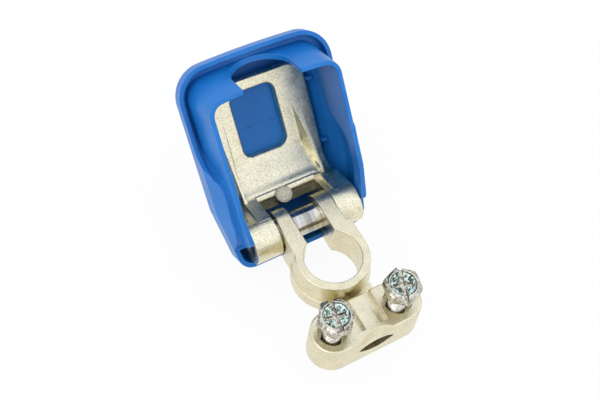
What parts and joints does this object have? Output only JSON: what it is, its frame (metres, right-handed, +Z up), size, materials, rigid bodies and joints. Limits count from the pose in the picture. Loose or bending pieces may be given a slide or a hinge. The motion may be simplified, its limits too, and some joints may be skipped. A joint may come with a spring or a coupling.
{
  "type": "battery terminal clamp",
  "caption": "Quick-release clamp for a battery post: split ring with a slot, swing lever with a moulded cover, and a two-screw bridge that holds a cable.",
  "frame": {"origin": "on the axis of the post bore, at the underside of the ring", "axes": "+Z up the post, +X along the lever's pin, +Y from the ring towards the pin"},
  "size_m": [0.0504, 0.0933, 0.0621],
  "materials": {
    "cast_zinc": "sand-grained casting, plated pale champagne silver",
    "plated_screws": "bright zinc plate with a faint blue-green tint",
    "plated_pin": "bright plated, turned",
    "blue_plastic": "semi-gloss moulded blue"
  },
  "bodies": {
    "base": {"clamp_body": "cast_zinc"},
    "lever_set": {"lever": "cast_zinc", "pivot_pin": "plated_pin", "cover": "blue_plastic"},
    "bridge": {"cable_bridge": "cast_zinc"},
    "left_screw": {"screw_left": "plated_screws"},
    "right_screw": {"screw_right": "plated_screws"}
  },
  "joints": [
    {"name": "lever_swing", "type": "hinge", "parent": "base", "child": "lever_set", "pos_m": [-0.0005, 0.0181, 0.0061], "axis": [1, 0, 0], "range_deg": [0, 127]},
    {"name": "bridge_lift", "type": "slide", "parent": "base", "child": "bridge", "axis": [0, 0, 1], "range_m": [0, 0.005]},
    {"name": "left_screw_turn", "type": "hinge", "parent": "base", "child": "left_screw", "pos_m": [-0.01105, -0.02, 0.01], "axis": [0, 0, 1], "continuous": true},
    {"name": "right_screw_turn", "type": "hinge", "parent": "base", "child": "right_screw", "pos_m": [0.01135, -0.02, 0.01], "axis": [0, 0, 1], "continuous": true}
  ]
}
